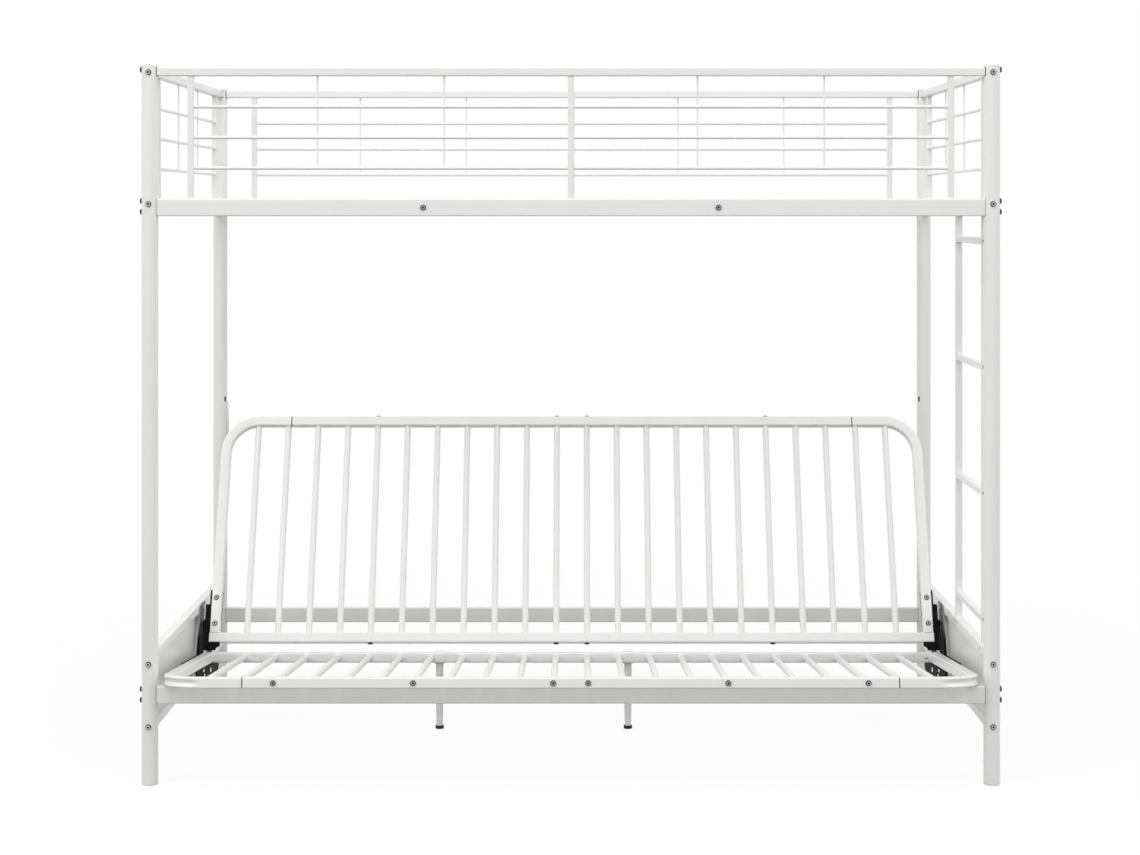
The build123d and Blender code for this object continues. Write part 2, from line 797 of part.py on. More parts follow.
def seat_bracket():
    """Right-hand bracket under the seat's side tube: a plate, a web and a hanging lip."""
    outside = seat_plane(seat_outer_x)
    rear = seat_reach + half_tube
    front = rear - seat_plate_length
    bottom = -half_tube - plate_thickness
    strip = box_sketch(front, bottom, rear, seat_plate_rise)
    spot = Pos(seat_reach + pivot_behind, -pivot_below) * Circle(pivot_lobe)
    arm = make_hull((box_sketch(seat_reach - half_tube, bottom, rear, seat_plate_rise) + spot).edges())
    outline = strip + arm
    hole = Pos(seat_reach + pivot_behind, -pivot_below) * Circle(pivot_diameter / 2 + pivot_clearance)
    stud_behind = seat_reach + pivot_behind - roller_ahead
    stud = Pos(stud_behind, -roller_below) * Circle(roller_stud / 2 + pivot_clearance)
    plate = extrude(outside * (outline - hole - stud), plate_thickness)
    inside = seat_plane(seat_outer_x - frame_tube)
    plate += extrude(inside * box_sketch(front, bottom, rear, -half_tube), frame_tube + plate_thickness)
    lip = box_sketch(front, bottom - seat_lip_depth, rear + seat_lip_tail, bottom)
    lip = chamfer(lip.vertices().group_by(Axis.Y)[0], seat_lip_depth / 2)
    step = seat_plate_length / (seat_lip_holes + 1)
    for index in range(seat_lip_holes):
        lip -= Pos(front + step * (index + 1), bottom - seat_lip_depth / 2) * Circle(seat_lip_hole / 2)
    plate += extrude(inside * lip, plate_thickness)
    for behind in seat_plate_bolts:
        plate -= seat_bolt_place(behind, bolt_hole(plate_thickness + overrun))
    return plate


def seat_bolt_place(ahead, shape):
    """Put a bolt's shape on the seat bracket's outer face, some way ahead of the rear rail."""
    y, z = seat_point(seat_reach + half_tube - ahead, 0)
    return aimed((seat_outer_x + plate_thickness, y, z), (1, 0, 0), shape)


def seat_bracket_bolts():
    """Bolts that hold the right seat bracket to its side tube."""
    return [seat_bolt_place(ahead, bolt(plate_thickness + frame_tube)) for ahead in seat_plate_bolts]


def seat_side():
    """The seat's right side tube in place, with its bracket bolts' holes."""
    tube = seat_location * bent_side(seat_half, seat_reach)
    for ahead in seat_plate_bolts:
        tube -= seat_bolt_place(ahead, bolt_hole(plate_thickness + frame_tube + overrun))
    return tube


def pivot_pin():
    """The right pin that the back turns on, held in the seat bracket."""
    inner = back_outer_x - side_clearance
    plate_outer = seat_outer_x + plate_thickness
    pin = along_x(Circle(pivot_diameter / 2), inner, plate_outer, pivot_y, pivot_z)
    pin += along_x(Circle(pivot_head / 2), inner - pivot_head_thickness, inner, pivot_y, pivot_z)
    collar_start = back_outer_x + plate_thickness + side_clearance
    pin += along_x(Circle(pivot_collar / 2), collar_start, seat_outer_x, pivot_y, pivot_z)
    end = plate_outer + pivot_head_thickness
    return pin + along_x(Circle(pivot_head / 2), plate_outer, end, pivot_y, pivot_z)


def guide_roller():
    """The right roller stud on the seat bracket, running in the fixed plate's slot."""
    y, z = roller_place()
    start = seat_outer_x
    plate_outer = seat_outer_x + plate_thickness
    outer = panel_inner_x + side_clearance
    stud = along_x(Circle(roller_stud / 2), start, outer, y, z)
    stud += along_x(Circle(pivot_head / 2), plate_outer, plate_outer + pivot_head_thickness, y, z)
    stud += along_x(Circle(roller_diameter / 2), fixed_plate_x - side_clearance, outer, y, z)
    return stud + along_x(Circle(pivot_head / 2), outer, outer + pivot_head_thickness, y, z)


def roller_place():
    """Y and Z of the guide roller's axis."""
    return seat_point(seat_reach + pivot_behind - roller_ahead, -roller_below)


def drive_link():
    """The right link from the fixed plate up to the back bracket's outer side."""
    start = link_x
    reach = (link_pin[0] - link_pivot[0], link_pin[1] - link_pivot[1])
    along = Plane((start, link_pivot[0], link_pivot[1]), x_dir=(0, reach[0], reach[1]), z_dir=(1, 0, 0))
    outline = Pos(link_length / 2, 0) * SlotCenterToCenter(link_length, link_width)
    hole = Circle(pivot_diameter / 2 + pivot_clearance)
    link = extrude(along * (outline - hole), plate_thickness)
    boss_start = back_outer_x + plate_thickness + side_clearance
    link += along_x(Circle(link_boss / 2), boss_start, link_x, *link_pin)
    end = link_x + plate_thickness
    return link + along_x(Circle(link_boss / 2), end, end + pivot_head_thickness, *link_pin)


def link_pin_solid():
    """The right pin that the link turns on, riveted in the fixed plate."""
    inner = link_x - side_clearance
    pin = along_x(Circle(pivot_diameter / 2), inner, panel_inner_x, *link_pivot)
    pin += along_x(Circle(pivot_head / 2), inner - pivot_head_thickness, inner, *link_pivot)
    collar_start = link_x + plate_thickness + side_clearance
    pin += along_x(Circle(pivot_collar / 2), collar_start, fixed_plate_x, *link_pivot)
    end = panel_inner_x + pivot_head_thickness
    return pin + along_x(Circle(pivot_head / 2), panel_inner_x, end, *link_pivot)


def fixed_plate_bolt_places():
    """Y and Z of the bolts that hold a fixed plate to the panel's tubes."""
    middle = panel_tube / 2
    roller_y = roller_place()[0]
    low, high = panel_bottom_z + middle, panel_top_z - middle
    return (
        (roller_y + fixed_plate_top_behind + fixed_plate_bolt_inset, high),
        (roller_y + fixed_plate_foot_behind + fixed_plate_bolt_inset, low),
        (roller_y - seat_travel * cos(tilt), low),
    )


def fixed_plate():
    """The right plate on the side panel: leaning upright, slotted track and front leg."""
    roller_y, roller_z = roller_place()
    ahead_y = roller_y - seat_travel * cos(tilt)
    ahead_z = roller_z + seat_travel * sin(tilt)
    low = panel_bottom_z + fixed_plate_top_drop
    high = panel_top_z - fixed_plate_top_drop
    foot = roller_y + fixed_plate_foot_behind
    top = roller_y + fixed_plate_top_behind
    bend = roller_z + fixed_plate_bend_rise
    upright = make_face(Polyline(
        (foot, low),
        (foot + fixed_plate_width, low),
        (foot + fixed_plate_width, bend),
        (top + fixed_plate_width, high),
        (top, high),
        (foot, bend),
        close=True,
    ))
    middle = Pos((roller_y + ahead_y) / 2, (roller_z + ahead_z) / 2) * Rot(0, 0, -seat_tilt_angle)
    track = middle * SlotCenterToCenter(seat_travel, track_height)
    leg = box_sketch(ahead_y - track_height / 2, low, ahead_y + track_height / 2, ahead_z)
    upright = fillet(upright.vertices(), fixed_plate_radius)
    leg = fillet(leg.vertices().group_by(Axis.Y)[0], fixed_plate_radius)
    outline = upright + track + leg
    slot = middle * SlotCenterToCenter(seat_travel, roller_diameter + 2 * slot_clearance)
    hole = Pos(*link_pivot) * Circle(pivot_diameter / 2 + pivot_clearance)
    plate = extrude(bed_plane(fixed_plate_x) * (outline - slot - hole), plate_thickness)
    for y, z in fixed_plate_bolt_places():
        plate -= aimed((fixed_plate_x, y, z), (-1, 0, 0), bolt_hole(plate_thickness + overrun))
    return plate


def fixed_plate_bolts():
    """Bolts through the right fixed plate into the panel's tubes."""
    reach = plate_thickness + panel_tube / 2
    return [aimed((fixed_plate_x, y, z), (-1, 0, 0), bolt(reach)) for y, z in fixed_plate_bolt_places()]


def bored_panel(pieces):
    """The right panel's pieces with the holes of its fixed plate's bolts."""
    for y, z in fixed_plate_bolt_places():
        index = 0 if z < (panel_bottom_z + panel_top_z) / 2 else 1
        pieces[index] -= aimed((panel_inner_x, y, z), (-1, 0, 0), bolt_hole(panel_wall + overrun))
    return pieces


def leg_places():
    """X of the two centre legs, each just right of a slat."""
    beside = (frame_slat_diameter + saddle_width) / 2
    left = -slat_places()[leg_left_slat_count] + beside + leg_left_gap
    return left, slat_places()[leg_right_slat_count] + beside + leg_right_gap


def centre_leg(x):
    """A leg under the seat's rear rail: a sleeve round the rail and a tapered tube."""
    gap = 2 * saddle_clearance
    inner = RectangleRounded(frame_tube + gap, frame_tube + gap, frame_corner)
    size = frame_tube + gap + 2 * saddle_wall
    sleeve = RectangleRounded(size, size, frame_corner + saddle_wall) - inner
    plane = Plane(
        (x - saddle_width / 2, rear_rail_y, rear_rail_z),
        x_dir=(0, cos(tilt), -sin(tilt)), z_dir=(1, 0, 0),
    )
    sleeve = extrude(plane * sleeve, saddle_width)
    foot_top = rest_gap + leg_foot_height
    taper_top = foot_top + leg_taper_length
    low = Plane((x, rear_rail_y, rest_gap + leg_foot_wall))
    middle = Plane((x, rear_rail_y, taper_top))
    tube = loft([low * Circle(leg_foot_diameter / 2), middle * Circle(leg_diameter / 2)])
    tube -= loft([
        low * Circle(leg_foot_diameter / 2 - leg_wall), middle * Circle(leg_diameter / 2 - leg_wall)
    ])
    tube += along_z(ring_section(leg_diameter, leg_wall), taper_top, rear_rail_z, x, rear_rail_y)
    solid = RectangleRounded(size, size, frame_corner + saddle_wall)
    tube -= extrude(plane * solid, saddle_width)
    return sleeve + tube


def leg_foot(x):
    """The plastic foot pushed over a centre leg's end."""
    outer = leg_foot_diameter / 2 + leg_foot_wall + leg_wall
    foot = along_z(Circle(outer), rest_gap, rest_gap + leg_foot_height, x, rear_rail_y)
    low = Plane((x, rear_rail_y, rest_gap + leg_foot_wall))
    taper = (leg_diameter - leg_foot_diameter) / 2 / (leg_taper_length + leg_foot_height - leg_foot_wall)
    top_radius = leg_foot_diameter / 2 + taper * leg_foot_height + saddle_clearance
    high = Plane((x, rear_rail_y, rest_gap + leg_foot_wall + leg_foot_height))
    return foot - loft([low * Circle(leg_foot_diameter / 2 + saddle_clearance), high * Circle(top_radius)])


def both_ends(solids):
    """The right-hand solids and their mirror images, left ones first."""
    return mirrored(solids) + list(solids)


def bed_nodes():
    """The standing part of the bed: posts, rails, bunk, panels and ladder."""
    nodes = {}
    names = {(-1, -1): "post_front_left", (-1, 1): "post_back_left",
             (1, -1): "post_front_right", (1, 1): "post_back_right"}
    for corner, name in names.items():
        nodes[name] = [post(*corner)]
    spots = [(side * post_x, front * post_y) for side, front in post_corners()]
    cap = post_plug(cap_thickness, cap_plug_depth)
    nodes["post_caps"] = [Pos(x, y, height - cap_thickness) * cap for x, y in spots]
    foot = Rot(180, 0, 0) * post_plug(foot_thickness, foot_plug_depth)
    nodes["post_feet"] = [Pos(x, y, foot_thickness) * foot for x, y in spots]
    upper = long_upper_rail()
    nodes["upper_rail_front"] = [Pos(0, -post_y, upper_rail_z) * upper]
    nodes["upper_rail_back"] = [Pos(0, post_y, upper_rail_z) * Rot(0, 0, 180) * upper]
    nodes["upper_end_rail_right"] = [end_rail(True)]
    nodes["upper_end_rail_left"] = mirrored([end_rail(False)])
    nodes["bunk_slats"] = bunk_slats()
    nodes["bunk_slat_bolts"] = bunk_slat_bolts()
    front_guard = long_guard()
    nodes["guard_front"] = placed(Pos(0, -post_y, 0), front_guard)
    nodes["guard_back"] = placed(Pos(0, post_y, 0) * Rot(0, 0, 180), front_guard)
    right_guard = placed(Pos(post_x, 0, 0) * Rot(0, 0, 90), end_guard())
    nodes["guard_end_right"] = right_guard
    nodes["guard_end_left"] = mirrored(right_guard)
    lower = post_rail(2 * post_x, rail_height, rail_depth, rail_wall, rail_corner,
                      (rail_bolt_rise, -rail_bolt_rise))
    nodes["lower_rail_front"] = [Pos(0, -post_y, lower_rail_z) * lower]
    nodes["lower_rail_back"] = [Pos(0, post_y, lower_rail_z) * lower]
    nodes["side_panel_right"] = bored_panel(side_panel(True))
    nodes["side_panel_left"] = mirrored(bored_panel(side_panel(False)))
    front_y, rear_y = ladder_rail_places()
    nodes["ladder_rail_front"] = [ladder_rail(front_y)]
    nodes["ladder_rail_back"] = [ladder_rail(rear_y)]
    nodes["ladder_rungs"] = ladder_rungs()
    nodes["ladder_bolts"] = ladder_bolts()
    nodes["ladder_screws"] = ladder_screws()
    nodes["post_side_bolts"] = post_bolts(True)
    nodes["post_face_bolts"] = post_bolts(False)
    plate = fixed_plate()
    nodes["fixed_plate_right"] = [plate]
    nodes["fixed_plate_left"] = mirrored([plate])
    nodes["link_pins"] = both_ends([link_pin_solid()])
    nodes["fixed_plate_bolts"] = both_ends(fixed_plate_bolts())
    return nodes


def seat_nodes():
    """The seat, with its brackets, pins, rollers and centre legs."""
    nodes = {"seat_front_rail": [seat_location * bent_rail(seat_bolted_slats)]}
    side = seat_side()
    nodes["seat_side_right"] = [side]
    nodes["seat_side_left"] = mirrored([side])
    nodes["seat_rear_rail"] = [seat_location * straight_rail(seat_half, seat_reach, ())]
    nodes["seat_joiners"] = placed(seat_location, frame_joiners(seat_bolted_slats))
    nodes["seat_slats"] = placed(seat_location, frame_slats(seat_half, seat_reach))
    nodes["seat_rail_bolts"] = placed(seat_location, frame_bolts(seat_reach, seat_bolted_slats, ()))
    bracket = seat_bracket()
    nodes["seat_bracket_right"] = [bracket]
    nodes["seat_bracket_left"] = mirrored([bracket])
    nodes["seat_bracket_bolts"] = both_ends(seat_bracket_bolts())
    nodes["pivot_pins"] = both_ends([pivot_pin()])
    nodes["guide_rollers"] = both_ends([guide_roller()])
    nodes["centre_legs"] = [centre_leg(x) for x in leg_places()]
    nodes["centre_leg_feet"] = [leg_foot(x) for x in leg_places()]
    return nodes


def back_nodes():
    """The back, with its brackets."""
    nodes = {"back_top_rail": [back_location * bent_rail(back_bolted_slats)]}
    side = bored_side(mirror(back_location * bent_side(back_half, back_reach), about=Plane.YZ))
    nodes["back_side_right"] = [side]
    nodes["back_side_left"] = mirrored([side])
    bottom_rail = straight_rail(back_half, back_reach, back_bolted_slats)
    nodes["back_bottom_rail"] = [back_location * bottom_rail]
    nodes["back_joiners"] = placed(back_location, frame_joiners(back_bolted_slats))
    nodes["back_slats"] = placed(back_location, frame_slats(back_half, back_reach))
    bolts = frame_bolts(back_reach, back_bolted_slats, back_bolted_slats)
    nodes["back_rail_bolts"] = placed(back_location, bolts)
    bracket = back_bracket()
    nodes["back_bracket_right"] = [bracket]
    nodes["back_bracket_left"] = mirrored([bracket])
    nodes["back_bracket_bolts"] = both_ends(back_bracket_bolts())
    return nodes


def link_nodes():
    """The two drive links, each a body of its own."""
    link = drive_link()
    return {"drive_link_right": [link], "drive_link_left": mirrored([link])}


def write_parts():
    """Write every node, moved so that the origin is under the middle of the whole bed."""
    nodes = bed_nodes() | seat_nodes() | back_nodes() | link_nodes()
    # The seat's front bolts reach furthest forward, the posts' bolts furthest back
    front = nodes["seat_rail_bolts"][0].bounding_box().min.Y
    rear = nodes["post_face_bolts"][-1].bounding_box().max.Y
    middle = (front + rear) / 2
    shift = Pos(0, -middle, 0)
    for name, group in nodes.items():
        moved = [shift * solid for solid in group]
        export_step(Compound(children=moved), f"parts/{name}.step")
    print("nodes", len(nodes), "solids", sum(len(group) for group in nodes.values()))
    print("moved along Y by", -middle)
    print("pivot", pivot_y - middle, pivot_z)
    print("link pivot", link_pivot[0] - middle, link_pivot[1])
    print("back turns", degrees(recline), "degrees, link turns", degrees(link_turn()), "degrees")


def link_turn():
    """How far the link turns between its two end poses."""
    return 2 * asin(chord / 2 / link_length)


write_parts()
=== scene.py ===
import json
import math

import bmesh
import bpy
import numpy as np
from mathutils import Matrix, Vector


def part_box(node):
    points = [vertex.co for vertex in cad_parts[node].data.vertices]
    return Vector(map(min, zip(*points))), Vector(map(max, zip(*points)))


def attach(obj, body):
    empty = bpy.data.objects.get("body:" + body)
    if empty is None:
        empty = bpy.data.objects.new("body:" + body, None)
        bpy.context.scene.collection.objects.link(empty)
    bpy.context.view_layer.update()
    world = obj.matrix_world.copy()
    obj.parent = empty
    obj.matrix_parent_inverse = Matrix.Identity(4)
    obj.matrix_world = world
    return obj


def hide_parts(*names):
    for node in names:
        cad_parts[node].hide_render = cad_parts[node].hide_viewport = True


# White tubular steel bunk bed with a folding sofa frame below. Metres throughout.

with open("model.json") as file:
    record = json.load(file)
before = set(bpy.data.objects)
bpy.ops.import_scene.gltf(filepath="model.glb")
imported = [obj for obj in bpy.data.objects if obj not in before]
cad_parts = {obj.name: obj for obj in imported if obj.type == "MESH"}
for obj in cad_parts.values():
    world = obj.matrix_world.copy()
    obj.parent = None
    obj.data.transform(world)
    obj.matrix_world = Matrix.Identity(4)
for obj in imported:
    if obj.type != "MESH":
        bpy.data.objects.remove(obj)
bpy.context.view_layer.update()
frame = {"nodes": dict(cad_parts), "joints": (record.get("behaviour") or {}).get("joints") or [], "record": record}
nodes = frame["nodes"]

# The photograph's camera: level, looking along +Y, its distance measured from the front posts
PHOTO_WIDTH = 1140
PHOTO_HEIGHT = 855
FOCAL_PIXELS = 2207
SENSOR_WIDTH = 36
CENTRE_PIXEL_X = 578.2
CENTRE_PIXEL_Y = 209
CAMERA_X = 0.017
CAMERA_BEFORE_POSTS = 5.094
CAMERA_HEIGHT = 1.327

# Shading of edges, and how close points are taken for one
SMOOTHING = "smooth_gentle_edges"
SMOOTH_ANGLE = math.radians(35)
MERGE_DISTANCE = 0.000005
POINT_DIGITS = 5

# Paint and plating: their noises as scale and detail, and the strength and depth of the grain
COAT_COLOURS = (9, 4)
COAT_GLOSS = (60, 3)
COAT_GRAIN_DETAIL = 2
COAT_GRAIN_DEPTH = 0.0004
CLEAR_COAT_ROUGHNESS = 0.12
PLATING_COLOURS = (300, 4)
PLATING_GLOSS = (500, 3)
PLATING_GRAIN = (1500, 2)
PLATING_GRAIN_STRENGTH = 0.1
PLATING_GRAIN_DEPTH = 0.0002

# Black paint, and the heights between which it turns grey on the fixed plates: a painted highlight for the glare
# on their tops
BLACK_COAT = {"rough": (0.5, 0.65), "grain": 900, "strength": 0.15, "gloss": 0.03}
PLATE_BLACK = (0.008, 0.008, 0.009)
PLATE_GLARE_GREY = (0.3, 0.3, 0.3)
PLATE_GLARE_GREY_FROM = 0.225
PLATE_GLARE_GREY_TO = 0.262

# From when on an axis counts as lying along X, and up to when a solid counts as round
ALONG_X = 0.9
ROUND_EXCESS = 1.05

# Faces round a circle, and the share of the widest radius up to which an end is closed
ROUND_STEPS = 24
SMALL_STEPS = 16
TINY_STEPS = 12
CLOSED_SHARE = 0.6

# Welds: the bead, its ripples, how square it is round a bar, and the limits of rods and bars
WELD_BEAD = 0.0011
WELD_PROUD = 0.0002
WELD_RIPPLE = 0.22
WELD_RIPPLE_PITCH = 0.0035
WELD_LEAST_RIPPLES = 3
WELD_BAR_POWER = 0.22
WELD_LEAST = 0.003
WELD_LONGEST = 1
WELD_SLENDER = 6
WELD_STEPS = 28
BEAD_STEPS = 6

# Bolts: outlines of the dark rim round the head's edge, a painted reflection, as radius beyond the head's and
# height, and of the socket's floor, painted black as the socket's shade
BOLT_HEAD_HEIGHT = 0.0036
BOLT_SHADE_RIM = (
    (0.00015, 0.0001), (0.00015, 0.00108), (0, 0.002), (-0.0007, 0.0028), (-0.0018, 0.00358))
BOLT_SOCKET_SHADE = ((0.0001, 0.0022), (0.0033, 0.0022), (0.0033, 0.0027), (0.0001, 0.0024))
BOLT_SOCKET_SIDES = 6

# Joints where a rail's coped end meets a post, drawn as thin dark lines of painted shadow
GUARD_TUBE = 0.02
RAIL_HEIGHT = 0.04
RAIL_DEPTH = 0.02
RAIL_CORNER = 0.003
POST_RADIUS = 0.019
SEAM_PROUD = 0.0001
GUARD_SEAM = 0.0011
RAIL_SEAM = 0.0005

# Bent corners of the sofa's frames: the outer wall sinks in between two ridges
FRAME_BEND = 0.0873
FRAME_CORNER = 0.004
BEND_SINK = 0.0048
BEND_SINK_POWER = 1.5
BEND_EASE = 0.2
BEND_STEPS = 32
WALL_STEPS = 10
CORNER_STEPS = 5

# Round heads and thin discs: the head's outline as shares of its radius and height
HEAD_OUTLINE = ((1, 0.35), (0.93, 0.66), (0.75, 0.9), (0.4, 1))
HEAD_CENTRE = 0.0001
FOOT_SUNK = 0.0004
DISC_PROUD = 0.0002

# Studs on the lips as Y, Z and radius, screws on the side tubes as Y, holes in the rear rail, drawn as dark discs
# of painted shade, as X
LIP_STUDS = ((0.0248, 0.1606, 0.0062), (-0.080, 0.1800, 0.0036), (-0.069, 0.1665, 0.0036))
LIP_STUD_HEIGHT = 0.004
# Radius of the dark disc of painted shade in the first stud's socket
STUD_SOCKET_SHADE_RADIUS = 0.0026
TOP_SCREWS = (-0.040, 0.043)
TOP_SCREW_RADIUS = 0.0032
TOP_SCREW_HEIGHT = 0.0018
RAIL_HOLES = (0.9025, 0.9085)
RAIL_HOLE_RADIUS = 0.0019
RAIL_HOLE_Y = 0.0008

# Slots in the back posts, drawn as dark patches of painted shade, and the strip beside the left one as width,
# depth and height
POST_SLOT_Z = 0.803
POST_SLOT_TURN = math.radians(52)
POST_SLOT_WIDTH = 0.005
POST_SLOT_HEIGHT = 0.015
POST_SLOT_SUNK = 0.0006
POST_SLOT_PROUD = 0.0003
POST_STRIP = (0.0045, 0.012, 0.095)
POST_STRIP_TOP = 0.797
POST_STRIP_CORNER = 0.0012
POST_STRIP_BEVEL = 0.0008
POST_STRIP_SUNK = 0.0006

# The floor: its tone for the bed's light, the share of lit floor that is seen and its reach
FLOOR_SIZE = 40
FLOOR_GREY = (0.24, 0.24, 0.24, 1)
FLOOR_ROUGHNESS = 0.9
WHITE = (1, 1, 1, 1)
FLOOR_SHADOW_SHARE = 0.12
SHADOW_FADES_FROM = 1.6
SHADOW_FADES_TO = 3.2

# Lamps as place, size and power; and the world's light by direction
LAMP_TARGET = (0, 0, 0.8)
LAMPS = {
    "left": ((-4.2, -3.6, 4.6), 2.4, 72),
    "right": ((4.2, -3.6, 4.4), 2.6, 46),
    "top": ((-0.4, -2.6, 5.6), 1.6, 52),
}
SKY_FRONT = 0.85
SKY_BACK = 0.35
SKY_SIDES = 0.8


def new_material(name):
    """An empty node material, with its tree and its shader."""
    material = bpy.data.materials.new(name)
    material.use_nodes = True
    tree = material.node_tree
    shader = tree.nodes["Principled BSDF"]
    return material, tree, shader


def noise(tree, scale, detail):
    """A noise texture over the object's own coordinates."""
    coordinates = tree.nodes.new("ShaderNodeTexCoord")
    texture = tree.nodes.new("ShaderNodeTexNoise")
    texture.inputs["Scale"].default_value = scale
    texture.inputs["Detail"].default_value = detail
    tree.links.new(coordinates.outputs["Object"], texture.inputs["Vector"])
    return texture.outputs["Fac"]


def separated(tree, space):
    """The X, Y and Z outputs of a texture coordinate."""
    coordinates = tree.nodes.new("ShaderNodeTexCoord")
    parts = tree.nodes.new("ShaderNodeSeparateXYZ")
    tree.links.new(coordinates.outputs[space], parts.inputs[0])
    return parts.outputs


def mixed_colour(tree, factor, low, high):
    """A colour between two, by a factor."""
    mix = tree.nodes.new("ShaderNodeMix")
    mix.data_type = "RGBA"
    tree.links.new(factor, mix.inputs["Factor"])
    mix.inputs["A"].default_value = (*low, 1)
    mix.inputs["B"].default_value = (*high, 1)
    return mix.outputs["Result"]


def mixed_shader(tree, factor, first, second):
    """A blend of two shaders, by a factor."""
    mix = tree.nodes.new("ShaderNodeMixShader")
    tree.links.new(factor, mix.inputs["Fac"])
    tree.links.new(first, mix.inputs[1])
    tree.links.new(second, mix.inputs[2])
    return mix.outputs[0]


def ranged(tree, value, low, high, start=0, end=1):
    """A number from low to high, as a value goes from start to end."""
    node = tree.nodes.new("ShaderNodeMapRange")
    tree.links.new(value, node.inputs["Value"])
    node.inputs["From Min"].default_value = start
    node.inputs["From Max"].default_value = end
    node.inputs["To Min"].default_value = low
    node.inputs["To Max"].default_value = high
    return node.outputs["Result"]


def calculated(tree, operation, *terms):
    """The result of a Math node on outputs and numbers."""
    node = tree.nodes.new("ShaderNodeMath")
    node.operation = operation
    for term, socket in zip(terms, node.inputs):
        if isinstance(term, float):
            socket.default_value = term
        else:
            tree.links.new(term, socket)
    return node.outputs[0]


def bumped(tree, shader, height, strength, distance):
    """Adds a bump to the shader from a height."""
    bump = tree.nodes.new("ShaderNodeBump")
    bump.inputs["Strength"].default_value = strength
    bump.inputs["Distance"].default_value = distance
    tree.links.new(height, bump.inputs["Height"])
    tree.links.new(bump.outputs["Normal"], shader.inputs["Normal"])


def add_coat(tree, shader, rough, grain, strength, gloss):
    """Gives a shader the uneven gloss and the fine grain of paint."""
    roughness = ranged(tree, noise(tree, *COAT_GLOSS), *rough)
    tree.links.new(roughness, shader.inputs["Roughness"])
    bumped(tree, shader, noise(tree, grain, COAT_GRAIN_DETAIL), strength, COAT_GRAIN_DEPTH)
    shader.inputs["Specular IOR Level"].default_value = gloss


def coated(name, low, high, rough, grain, strength, clear=0.0, gloss=0.5):
    """A painted or moulded surface: two close colours, uneven gloss and a fine grain."""
    material, tree, shader = new_material(name)
    colour = mixed_colour(tree, noise(tree, *COAT_COLOURS), low, high)
    tree.links.new(colour, shader.inputs["Base Color"])
    add_coat(tree, shader, rough, grain, strength, gloss)
    shader.inputs["Coat Weight"].default_value = clear
    shader.inputs["Coat Roughness"].default_value = CLEAR_COAT_ROUGHNESS
    return material


def plated(name, low, high, rough):
    """A metal surface with uneven plating."""
    material, tree, shader = new_material(name)
    shader.inputs["Metallic"].default_value = 1
    colour = mixed_colour(tree, noise(tree, *PLATING_COLOURS), low, high)
    tree.links.new(colour, shader.inputs["Base Color"])
    roughness = ranged(tree, noise(tree, *PLATING_GLOSS), *rough)
    tree.links.new(roughness, shader.inputs["Roughness"])
    grain = noise(tree, *PLATING_GRAIN)
    bumped(tree, shader, grain, PLATING_GRAIN_STRENGTH, PLATING_GRAIN_DEPTH)
    return material


def plate_with_painted_glare():
    """Black paint that turns grey near the top of the fixed plates, a painted highlight standing in for the glare
    there.
    """
    material, tree, shader = new_material("plate_paint_painted_glare")
    height = separated(tree, "Object")["Z"]
    # Painted highlight: grey rising over the plates' tops in place of glare
    rise = ranged(tree, height, 0, 1, PLATE_GLARE_GREY_FROM, PLATE_GLARE_GREY_TO)
    colour = mixed_colour(tree, rise, PLATE_BLACK, PLATE_GLARE_GREY)
    tree.links.new(colour, shader.inputs["Base Color"])
    add_coat(tree, shader, **BLACK_COAT)
    return material


MATERIALS = {
    "white_paint": coated(
        "white_powder_coat", (0.82, 0.82, 0.81), (0.86, 0.86, 0.85),
        rough=(0.26, 0.36), grain=700, strength=0.1, clear=0.1),
    "white_plastic": coated(
        "white_plastic", (0.78, 0.78, 0.77), (0.82, 0.82, 0.81),
        rough=(0.4, 0.5), grain=1200, strength=0.1),
    "black_paint": coated(
        "black_paint", (0.006, 0.006, 0.007), (0.012, 0.012, 0.013), **BLACK_COAT),
    "black_plastic": coated(
        "black_plastic", (0.01, 0.01, 0.01), (0.018, 0.018, 0.018),
        rough=(0.45, 0.6), grain=1200, strength=0.2, gloss=0.25),
    "zinc": plated("zinc_plate", (0.5, 0.5, 0.5), (0.68, 0.68, 0.67), (0.22, 0.38)),
    # Grey plating for the black zinc bolts: partly the zinc tone of some heads, partly a painted glint on the
    # black domed faces
    "black_zinc": plated("zinc_tone_and_painted_glint", (0.3, 0.3, 0.31), (0.5, 0.5, 0.51), (0.2, 0.34)),
    # Near-black plating for the bolts' rims: a painted dark reflection round the heads' edges
    "bolt_shade_rim": plated("bolt_shade_rim", (0.012, 0.012, 0.013), (0.03, 0.03, 0.032), (0.35, 0.5)),
    # Dark steel for the joiners: partly the bare inner tubes, partly painted shade for the seams where they show
    "inner_steel_seam_shade": plated("inner_steel_seam_shade", (0.1, 0.1, 0.1), (0.16, 0.16, 0.155), (0.35, 0.55)),
    "joint_shadow": coated(
        "joint_shadow", (0.02, 0.02, 0.02), (0.04, 0.04, 0.04),
        rough=(0.7, 0.9), grain=900, strength=0.1, gloss=0.1),
    # Black paint with a painted glare near the fixed plates' tops
    "plate_paint_painted_glare": plate_with_painted_glare(),
}

# Nodes that look different from their material slot: the joiners, whose dark steel also paints shade into the
# seams, and the fixed plates, with a painted glare on their tops
LOOKS = {
    "seat_joiners": "inner_steel_seam_shade", "back_joiners": "inner_steel_seam_shade",
    "fixed_plate_left": "plate_paint_painted_glare", "fixed_plate_right": "plate_paint_painted_glare",
}


